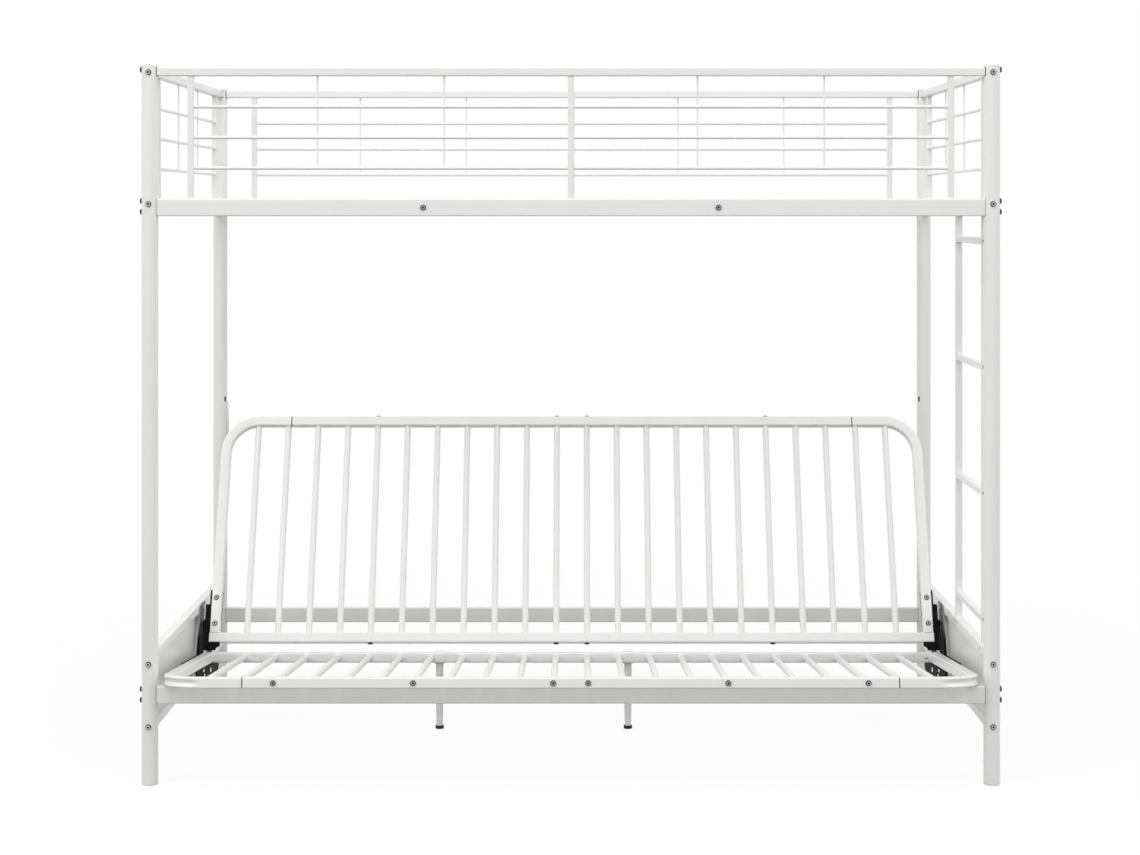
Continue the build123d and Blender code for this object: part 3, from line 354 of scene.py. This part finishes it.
def smoothing_group():
    """Geometry nodes that join coincident points and shade gentle edges smooth."""
    group = bpy.data.node_groups.new(SMOOTHING, "GeometryNodeTree")
    for direction in ("INPUT", "OUTPUT"):
        group.interface.new_socket(
            "Geometry", in_out=direction, socket_type="NodeSocketGeometry")
    start = group.nodes.new("NodeGroupInput")
    merge = group.nodes.new("GeometryNodeMergeByDistance")
    merge.inputs["Distance"].default_value = MERGE_DISTANCE
    faces = group.nodes.new("GeometryNodeSetShadeSmooth")
    angle = group.nodes.new("GeometryNodeInputMeshEdgeAngle")
    compare = group.nodes.new("FunctionNodeCompare")
    compare.operation = "LESS_THAN"
    compare.inputs["B"].default_value = SMOOTH_ANGLE
    edges = group.nodes.new("GeometryNodeSetShadeSmooth")
    edges.domain = "EDGE"
    end = group.nodes.new("NodeGroupOutput")
    link = group.links.new
    link(start.outputs[0], merge.inputs["Geometry"])
    link(merge.outputs[0], faces.inputs["Geometry"])
    link(faces.outputs[0], edges.inputs["Geometry"])
    link(angle.outputs["Unsigned Angle"], compare.inputs["A"])
    link(compare.outputs["Result"], edges.inputs["Shade Smooth"])
    link(edges.outputs[0], end.inputs[0])


def shade_smooth(thing):
    """Shades an object's gentle edges smooth."""
    smooth = thing.modifiers.new("smooth", "NODES")
    smooth.node_group = bpy.data.node_groups[SMOOTHING]


def dress_nodes():
    """Gives every CAD node its material and smooth shading."""
    smoothing_group()
    slots = {entry["node"]: entry["material_slot"] for entry in frame["record"]["subparts"]}
    for name, node in nodes.items():
        node.data.materials.clear()
        node.data.materials.append(MATERIALS[LOOKS.get(name, slots[name])])
        shade_smooth(node)
        weighted = node.modifiers.new("weighted", "WEIGHTED_NORMAL")
        weighted.keep_sharp = True


def corners(name):
    """The low and the high corner of a node's box."""
    return [np.array(corner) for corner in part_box(name)]


def mesh_points(name):
    """All points of a node's mesh."""
    return np.array([vertex.co for vertex in nodes[name].data.vertices])


def loose_parts(name):
    """The points of each separate solid of a node."""
    mesh = nodes[name].data
    index_of = {}
    owners = []
    for vertex in mesh.vertices:
        key = tuple(round(value, POINT_DIGITS) for value in vertex.co)
        owners.append(index_of.setdefault(key, len(index_of)))
    above = list(range(len(index_of)))

    def top(index):
        while above[index] != index:
            above[index] = above[above[index]]
            index = above[index]
        return index

    for face in mesh.polygons:
        first = owners[face.vertices[0]]
        for corner in face.vertices:
            above[top(owners[corner])] = top(first)
    parts = {}
    for key, index in index_of.items():
        parts.setdefault(top(index), []).append(key)
    return [np.array(points) for points in parts.values()]


def side_axes(axis):
    """Two directions square to an axis and to each other."""
    along_x = abs(axis[0]) > ALONG_X
    helper = np.array((0.0, 1.0, 0.0)) if along_x else np.array((1.0, 0.0, 0.0))
    first = helper - axis * helper.dot(axis)
    first /= np.linalg.norm(first)
    return first, np.cross(axis, first)


def long_axis(points):
    """The direction of a straight solid."""
    return np.linalg.eigh(np.cov((points - points.mean(axis=0)).T))[1][:, 2]


def straight_part(points):
    """A straight solid's axis, its two ends on it, half its width both ways, and its radius."""
    axis = long_axis(points)
    across = side_axes(axis)
    along = points @ axis
    spans = [points @ side for side in across]
    middle = sum(side * (span.min() + span.max()) / 2 for side, span in zip(across, spans))
    halves = [(span.max() - span.min()) / 2 for span in spans]
    radius = np.linalg.norm(points - middle - np.outer(along, axis), axis=1).max()
    ends = [middle + axis * along.min(), middle + axis * along.max()]
    return axis, ends, halves, radius


def new_piece(name, build, body, material):
    """A piece of its own from a function that fills a mesh; it rides on a body."""
    fresh = bmesh.new()
    build(fresh)
    bmesh.ops.recalc_face_normals(fresh, faces=fresh.faces)
    for face in fresh.faces:
        face.smooth = True
    mesh = bpy.data.meshes.new(name)
    fresh.to_mesh(mesh)
    fresh.free()
    piece = bpy.data.objects.new(name, mesh)
    bpy.context.collection.objects.link(piece)
    mesh.materials.append(material)
    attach(piece, body)
    return piece


def turns(steps, start=0.0):
    """Evenly spaced angles round a circle, from a share of the first step on."""
    return [2 * math.pi * (step + start) / steps for step in range(steps)]


def join_rings(fresh, rings, closed=False):
    """Faces between neighbouring rings of points; the last joins the first where closed."""
    made = [[fresh.verts.new(point) for point in ring] for ring in rings]
    pairs = list(zip(made, made[1:]))
    if closed:
        pairs.append((made[-1], made[0]))
    for low, high in pairs:
        for index in range(len(low)):
            after = (index + 1) % len(low)
            fresh.faces.new((low[index], low[after], high[after], high[index]))
    return made


def capped_rings(fresh, rings):
    """Faces between neighbouring rings of points, and over both ends."""
    made = join_rings(fresh, rings)
    fresh.faces.new(made[0])
    fresh.faces.new(made[-1])


def loop_tube(fresh, points, outward, radius_at):
    """A thin tube round a closed loop of points."""
    rings = []
    count = len(points)
    for index, point in enumerate(points):
        ahead = points[(index + 1) % count] - points[index - 1]
        ahead /= np.linalg.norm(ahead)
        out = outward[index] - ahead * outward[index].dot(ahead)
        out /= np.linalg.norm(out)
        up = np.cross(ahead, out)
        radius = radius_at(index)
        rings.append([
            point + radius * (math.cos(turn) * out + math.sin(turn) * up)
            for turn in turns(BEAD_STEPS)])
    join_rings(fresh, rings, closed=True)


def weld(fresh, centre, axis, halves, is_round):
    """A rippled bead round the end of a rod or bar."""
    first, second = side_axes(axis)
    power = 1 if is_round else WELD_BAR_POWER
    half_first, half_second = (half + WELD_PROUD for half in halves)
    points = []
    outward = []
    for turn in turns(WELD_STEPS, 0.5):
        cosine = math.copysign(abs(math.cos(turn)) ** power, math.cos(turn))
        sine = math.copysign(abs(math.sin(turn)) ** power, math.sin(turn))
        points.append(centre + first * cosine * half_first + second * sine * half_second)
        outward.append(first * math.cos(turn) + second * math.sin(turn))
    round_it = 2 * math.pi * halves[0]
    ripples = max(WELD_LEAST_RIPPLES, round(round_it / WELD_RIPPLE_PITCH))

    def radius_at(index):
        wave = math.sin(2 * math.pi * ripples * index / WELD_STEPS)
        return WELD_BEAD * (1 + WELD_RIPPLE * wave)

    loop_tube(fresh, points, outward, radius_at)


def welds(name, body, node_names):
    """Beads at the ends of every rod and bar of the named nodes."""
    def build(fresh):
        for node_name in node_names:
            for points in loose_parts(node_name):
                axis, ends, halves, radius = straight_part(points)
                length = np.linalg.norm(ends[1] - ends[0])
                too_long = length > WELD_LONGEST
                too_stout = length < WELD_SLENDER * max(halves)
                if min(halves) < WELD_LEAST or too_long or too_stout:
                    continue
                is_round = radius < ROUND_EXCESS * max(halves)
                for end in ends:
                    weld(fresh, end, axis, halves, is_round)

    new_piece(name, build, body, MATERIALS["white_paint"])


def revolve(fresh, foot, axis, profile, steps=ROUND_STEPS, closed=False):
    """A surface of revolution from (radius, height) pairs over a foot point."""
    first, second = side_axes(axis)
    rings = []
    for radius, rise in profile:
        rings.append([
            foot + axis * rise + radius * (math.cos(turn) * first + math.sin(turn) * second)
            for turn in turns(steps)])
    made = join_rings(fresh, rings, closed)
    widest = max(radius for radius, rise in profile)
    for ring, (radius, rise) in ((made[0], profile[0]), (made[-1], profile[-1])):
        if radius < CLOSED_SHARE * widest:
            fresh.faces.new(ring)


def bolt_heads(name):
    """The foot, outward axis and radius of each bolt's head in a node."""
    found = []
    for points in loose_parts(name):
        axis, ends, halves, radius = straight_part(points)
        along = (points - ends[0]) @ axis
        away = np.linalg.norm(points - ends[0] - np.outer(along, axis), axis=1)
        middle = along.max() / 2
        if away[along < middle].max() > away[along > middle].max():
            axis, ends = -axis, ends[::-1]
        found.append((ends[1] - axis * BOLT_HEAD_HEIGHT, axis, radius))
    return found


def dress_bolts(body, node_names):
    """A dark rim round each bolt's head, a painted reflection on the edge of its dome, and a dark floor in its
    socket, painted shade for the socket's depth.
    """
    heads = [head for name in node_names for head in bolt_heads(name)]

    def rims(fresh):
        for foot, axis, radius in heads:
            profile = [(radius + beyond, rise) for beyond, rise in BOLT_SHADE_RIM]
            revolve(fresh, foot, axis, profile, closed=True)

    def sockets(fresh):
        for foot, axis, radius in heads:
            revolve(fresh, foot, axis, BOLT_SOCKET_SHADE, BOLT_SOCKET_SIDES)

    # Painted light: dark rims for the heads' edges and black floors for the sockets' shade
    new_piece("bolt_shade_rims_" + body, rims, body, MATERIALS["bolt_shade_rim"])
    new_piece("bolt_socket_shades_" + body, sockets, body, MATERIALS["black_paint"])


def rounded_loop(half_a, half_b, corner):
    """Points and outward directions round a rectangle with rounded corners."""
    points = []
    for quarter, (sign_a, sign_b) in enumerate(((1, 1), (-1, 1), (-1, -1), (1, -1))):
        for step in range(CORNER_STEPS + 1):
            turn = math.pi / 2 * (quarter + step / CORNER_STEPS)
            out = (math.cos(turn), math.sin(turn))
            points.append((
                sign_a * (half_a - corner) + corner * out[0],
                sign_b * (half_b - corner) + corner * out[1], out))
    return points


def rail_seam(fresh, post, along, side, height, middle_z, thick):
    """A thin dark line of painted shadow along the joint where a rail's coped end meets a round post."""
    points = []
    outward = []
    for across, rise, out in rounded_loop(RAIL_DEPTH / 2, height / 2, RAIL_CORNER):
        reach = math.sqrt((POST_RADIUS + SEAM_PROUD) ** 2 - across ** 2)
        level = np.array((0, 0, middle_z + rise))
        points.append(post + along * reach + side * across + level)
        outward.append(side * out[0] + np.array((0, 0, out[1])))
    loop_tube(fresh, points, outward, lambda index: thick)


def rail_seams():
    """Joint lines of painted shadow at the ends of the guards' rails, and finer ones at the other rails."""
    top_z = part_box("guard_front")[1][2] - GUARD_TUBE / 2
    upper_z = (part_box("upper_rail_front")[0][2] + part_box("upper_rail_front")[1][2]) / 2
    lower_z = (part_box("lower_rail_front")[0][2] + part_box("lower_rail_front")[1][2]) / 2

    def build(fresh):
        for name in ("post_front_left", "post_front_right", "post_back_left", "post_back_right"):
            low, high = corners(name)
            post = (low + high) / 2 * np.array((1, 1, 0))
            inward = np.array((-math.copysign(1, post[0]), 0, 0))
            across = np.array((0, 1 if "front" in name else -1, 0))
            rail_seam(fresh, post, inward, across, GUARD_TUBE, top_z, GUARD_SEAM)
            rail_seam(fresh, post, across, inward, GUARD_TUBE, top_z, GUARD_SEAM)
            for middle_z in (upper_z, lower_z):
                rail_seam(fresh, post, inward, across, RAIL_HEIGHT, middle_z, RAIL_SEAM)

    new_piece("rail_joint_shadows", build, "root", MATERIALS["joint_shadow"])


def sunk_section(half, sink):
    """A rounded square section whose outer wall sinks in; pairs of outward and upward."""
    points = []
    flat = half - FRAME_CORNER
    for step in range(1, WALL_STEPS):
        up = flat * (2 * step / WALL_STEPS - 1)
        depth = sink * math.cos(math.pi / 2 * up / flat) ** BEND_SINK_POWER
        points.append((half - depth, up))
    return points + [(a, b) for a, b, out in rounded_loop(half, half, FRAME_CORNER)]


def eased(share):
    """Nought at both ends of the bend and one along most of it."""
    near = min(share, 1 - share) / BEND_EASE
    return 1 if near > 1 else near * near * (3 - 2 * near)


def bent_side(name, slats, body, rearward):
    """A side tube whose outer wall sinks in round its bend, in place of the plain one."""
    direction = long_axis(loose_parts(slats)[0])
    direction = direction if direction.dot(np.array(rearward)) > 0 else -direction
    up = np.cross(np.array((1.0, 0, 0)), direction)
    points = mesh_points(name)
    side = math.copysign(1, points[:, 0].mean())
    level = points @ up
    half = (level.max() - level.min()) / 2
    start_x = np.abs(points[:, 0]).min()
    outer_x = np.abs(points[:, 0]).max() - half
    front = (points @ direction).min() + half
    rear = (points @ direction).max()
    origin = up * (level.max() + level.min()) / 2
    # Along the tube: place in X and rearward, outward direction in the same two, depth sunk
    stations = [(start_x, front, 0.0, -1.0, 0.0)]
    for step in range(BEND_STEPS + 1):
        turn = math.pi / 2 * step / BEND_STEPS
        stations.append((
            outer_x - FRAME_BEND + FRAME_BEND * math.sin(turn),
            front + FRAME_BEND - FRAME_BEND * math.cos(turn),
            math.sin(turn), -math.cos(turn), BEND_SINK * eased(step / BEND_STEPS)))
    stations.append((outer_x, rear, 1.0, 0.0, 0.0))

    def build(fresh):
        rings = []
        for x, along, out_x, out_along, sink in stations:
            centre = origin + np.array((side * x, 0, 0)) + direction * along
            out = np.array((side * out_x, 0, 0)) + direction * out_along
            rings.append([centre + out * a + up * b for a, b in sunk_section(half, sink)])
        capped_rings(fresh, rings)

    piece = new_piece(name + "_bent", build, body, MATERIALS["white_paint"])
    shade_smooth(piece)
    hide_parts(name)


def domed(radius, height):
    """The outline of a round head with a flat top and a closed foot just under the surface."""
    foot = [(HEAD_CENTRE, -FOOT_SUNK), (radius, -FOOT_SUNK)]
    dome = [(radius * wide, height * tall) for wide, tall in HEAD_OUTLINE]
    return foot + dome + [(HEAD_CENTRE, height)]


def thin_disc(radius):
    """The outline of a thin disc that stands proud of a surface by a hair."""
    return [
        (HEAD_CENTRE, -FOOT_SUNK), (radius, -FOOT_SUNK), (radius, DISC_PROUD),
        (HEAD_CENTRE, DISC_PROUD)]


def lip_face(end):
    """The distance of a seat bracket's inner face from the bed's middle."""
    name = "seat_bracket_" + end
    return min(abs(corner[0]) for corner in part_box(name))


def seat_hardware():
    """Studs on the brackets' lips, screws on top of the seat's side tubes, and a dark disc of painted shade in the
    first stud's socket.
    """
    ends = ((-1, "left"), (1, "right"))

    def build(fresh):
        for side, end in ends:
            inner_x = lip_face(end)
            axis = np.array((-side, 0.0, 0.0))
            for y, z, radius in LIP_STUDS:
                foot = np.array((side * inner_x, y, z))
                revolve(fresh, foot, axis, domed(radius, LIP_STUD_HEIGHT))
            points = mesh_points("seat_side_" + end)
            along = np.array(frame["joints"][0]["axis"])
            up = np.cross(along, np.array((1.0, 0, 0)))
            top = (points @ up).max()
            middle_x = (np.abs(points[:, 0]).max() + inner_x) / 2
            for y in TOP_SCREWS:
                height = (top - y * up[1]) / up[2]
                foot = np.array((side * middle_x, y, height))
                revolve(fresh, foot, up, domed(TOP_SCREW_RADIUS, TOP_SCREW_HEIGHT), SMALL_STEPS)

    def sockets(fresh):
        y, z, _ = LIP_STUDS[0]
        for side, end in ends:
            foot = np.array((side * (lip_face(end) - LIP_STUD_HEIGHT), y, z))
            axis = np.array((-side, 0.0, 0.0))
            revolve(fresh, foot, axis, thin_disc(STUD_SOCKET_SHADE_RADIUS), TINY_STEPS)

    new_piece("seat_studs", build, "seat", MATERIALS["zinc"])
    # Painted shade: a dark disc in the socket of the first stud on each lip
    new_piece("seat_stud_socket_shades", sockets, "seat", MATERIALS["joint_shadow"])


def post_slot(fresh, name):
    """A dark oblong patch on the inner front of a back post: painted shade for the slot there."""
    low, high = corners(name)
    centre = (low + high) / 2
    post = (high[0] - low[0]) / 2
    inward = -math.copysign(1, centre[0])
    half_width = POST_SLOT_WIDTH / 2
    straight = POST_SLOT_HEIGHT / 2 - half_width
    rings = []
    for radius in (post - POST_SLOT_SUNK, post + POST_SLOT_PROUD):
        ring = []
        for turn in turns(ROUND_STEPS, 0.5):
            across = POST_SLOT_TURN + half_width * math.cos(turn) / post
            rise = half_width * math.sin(turn) + math.copysign(straight, math.sin(turn))
            ring.append(np.array((
                centre[0] + inward * radius * math.sin(across),
                centre[1] - radius * math.cos(across), POST_SLOT_Z + rise)))
        rings.append(ring)
    capped_rings(fresh, rings)


def post_strip(fresh):
    """A short flat strip with round edges on the inside of the left back post."""
    low, high = corners("post_back_left")
    width, depth, tall = POST_STRIP
    foot = np.array((
        high[0] + width / 2 - POST_STRIP_SUNK, (low[1] + high[1]) / 2, POST_STRIP_TOP - tall))
    bevel = POST_STRIP_BEVEL
    rings = []
    for rise, inset in ((0, bevel), (bevel, 0), (tall - bevel, 0), (tall, bevel)):
        loop = rounded_loop(width / 2 - inset, depth / 2 - inset, POST_STRIP_CORNER)
        rings.append([foot + np.array((a, b, rise)) for a, b, out in loop])
    capped_rings(fresh, rings)


def frame_hardware():
    """Dark patches of painted shade for the slots in the back posts and the rear rail's holes, and the strip
    beside the left slot.
    """
    def slots(fresh):
        post_slot(fresh, "post_back_left")
        post_slot(fresh, "post_back_right")

    def holes(fresh):
        low, high = corners("seat_rear_rail")
        along = np.array(frame["joints"][0]["axis"])
        for x in RAIL_HOLES:
            foot = np.array((x, low[1] + RAIL_HOLE_Y, (low[2] + high[2]) / 2))
            revolve(fresh, foot, along, thin_disc(RAIL_HOLE_RADIUS), SMALL_STEPS)

    new_piece("post_slot_shades", slots, "root", MATERIALS["joint_shadow"])
    new_piece("post_strip", post_strip, "root", MATERIALS["white_paint"])
    new_piece("rail_hole_shades", holes, "seat", MATERIALS["joint_shadow"])


def fine_pieces():
    """Welds, bolt rims, joint lines, the sofa frames' bent corners and small hardware."""
    welds("guard_welds", "root", ["guard_front", "guard_back", "guard_end_left", "guard_end_right"])
    welds("seat_slat_welds", "seat", ["seat_slats"])
    welds("back_slat_welds", "back", ["back_slats"])
    dress_bolts("root", ["post_side_bolts", "post_face_bolts", "bunk_slat_bolts", "ladder_bolts"])
    dress_bolts("seat", ["seat_rail_bolts", "seat_bracket_bolts"])
    dress_bolts("back", ["back_rail_bolts", "back_bracket_bolts"])
    rail_seams()
    for side in ("left", "right"):
        bent_side("seat_side_" + side, "seat_slats", "seat", (0, 1, 0))
        bent_side("back_side_" + side, "back_slats", "back", (0, 0, -1))
    seat_hardware()
    frame_hardware()


def seen_straight(tree):
    """One for rays from the camera, mirrors and glass, nought for diffuse light."""
    path = tree.nodes.new("ShaderNodeLightPath")
    total = path.outputs["Is Camera Ray"]
    for name in ("Is Glossy Ray", "Is Transmission Ray"):
        total = calculated(tree, "MAXIMUM", total, path.outputs[name])
    return total


def shadow_reach(tree):
    """The share of lit floor: some near the bed, fading to none further out."""
    coordinates = tree.nodes.new("ShaderNodeTexCoord")
    length = tree.nodes.new("ShaderNodeVectorMath")
    length.operation = "LENGTH"
    tree.links.new(coordinates.outputs["Object"], length.inputs[0])
    fade = ranged(
        tree, length.outputs["Value"], FLOOR_SHADOW_SHARE, 0, SHADOW_FADES_FROM, SHADOW_FADES_TO)
    fade.node.interpolation_type = "SMOOTHSTEP"
    return fade


def floor():
    """A wide plain floor that looks white, with the bed's shadow on it."""
    bpy.ops.mesh.primitive_plane_add(size=FLOOR_SIZE, location=(0, 0, 0))
    plane = bpy.context.object
    plane.name = "floor"
    material, tree, shader = new_material("floor")
    shader.inputs["Base Color"].default_value = FLOOR_GREY
    shader.inputs["Roughness"].default_value = FLOOR_ROUGHNESS
    shader.inputs["Specular IOR Level"].default_value = 0
    lit = tree.nodes.new("ShaderNodeBsdfDiffuse")
    lit.inputs["Color"].default_value = WHITE
    bright = tree.nodes.new("ShaderNodeEmission")
    bright.inputs["Color"].default_value = WHITE
    shown = mixed_shader(tree, shadow_reach(tree), bright.outputs[0], lit.outputs[0])
    surface = mixed_shader(tree, seen_straight(tree), shader.outputs[0], shown)
    tree.links.new(surface, tree.nodes["Material Output"].inputs["Surface"])
    plane.data.materials.append(material)


def area_light(name, place, size, power):
    """A soft square lamp that faces the bed."""
    data = bpy.data.lights.new(name, "AREA")
    data.size = size
    data.energy = power
    lamp = bpy.data.objects.new(name, data)
    bpy.context.collection.objects.link(lamp)
    lamp.location = place
    direction = Vector(LAMP_TARGET) - Vector(place)
    lamp.rotation_euler = direction.to_track_quat("-Z", "Y").to_euler()


def sky_strength(tree):
    """The world's light by direction: most from the front and sides, least from behind."""
    parts = separated(tree, "Generated")
    spread = ranged(tree, parts["Y"], SKY_FRONT, SKY_BACK, -1, 1)
    square = calculated(tree, "MULTIPLY", parts["X"], parts["X"])
    return calculated(tree, "MULTIPLY_ADD", square, SKY_SIDES, spread)


def studio():
    """Soft lamps, and a world that is white where it is seen or mirrored."""
    for name, (place, size, power) in LAMPS.items():
        area_light(name, place, size, power)
    world = bpy.data.worlds.new("studio")
    bpy.context.scene.world = world
    world.use_nodes = True
    tree = world.node_tree
    tree.nodes.clear()
    soft = tree.nodes.new("ShaderNodeBackground")
    tree.links.new(sky_strength(tree), soft.inputs["Strength"])
    seen = tree.nodes.new("ShaderNodeBackground")
    for background in (soft, seen):
        background.inputs["Color"].default_value = WHITE
    output = tree.nodes.new("ShaderNodeOutputWorld")
    surface = mixed_shader(tree, seen_straight(tree), soft.outputs[0], seen.outputs[0])
    tree.links.new(surface, output.inputs["Surface"])


def camera():
    """The photograph's camera."""
    data = bpy.data.cameras.new("photo_camera")
    data.sensor_width = SENSOR_WIDTH
    data.lens = FOCAL_PIXELS / PHOTO_WIDTH * SENSOR_WIDTH
    data.shift_x = (PHOTO_WIDTH / 2 - CENTRE_PIXEL_X) / PHOTO_WIDTH
    data.shift_y = (CENTRE_PIXEL_Y - PHOTO_HEIGHT / 2) / PHOTO_WIDTH
    eye = bpy.data.objects.new("photo_camera", data)
    bpy.context.collection.objects.link(eye)
    low, high = corners("post_front_left")
    eye.location = (CAMERA_X, (low[1] + high[1]) / 2 - CAMERA_BEFORE_POSTS, CAMERA_HEIGHT)
    eye.rotation_euler = (math.radians(90), 0, 0)
    bpy.context.scene.camera = eye


dress_nodes()
fine_pieces()
floor()
studio()
camera()
bpy.context.scene.view_settings.view_transform = "Standard"
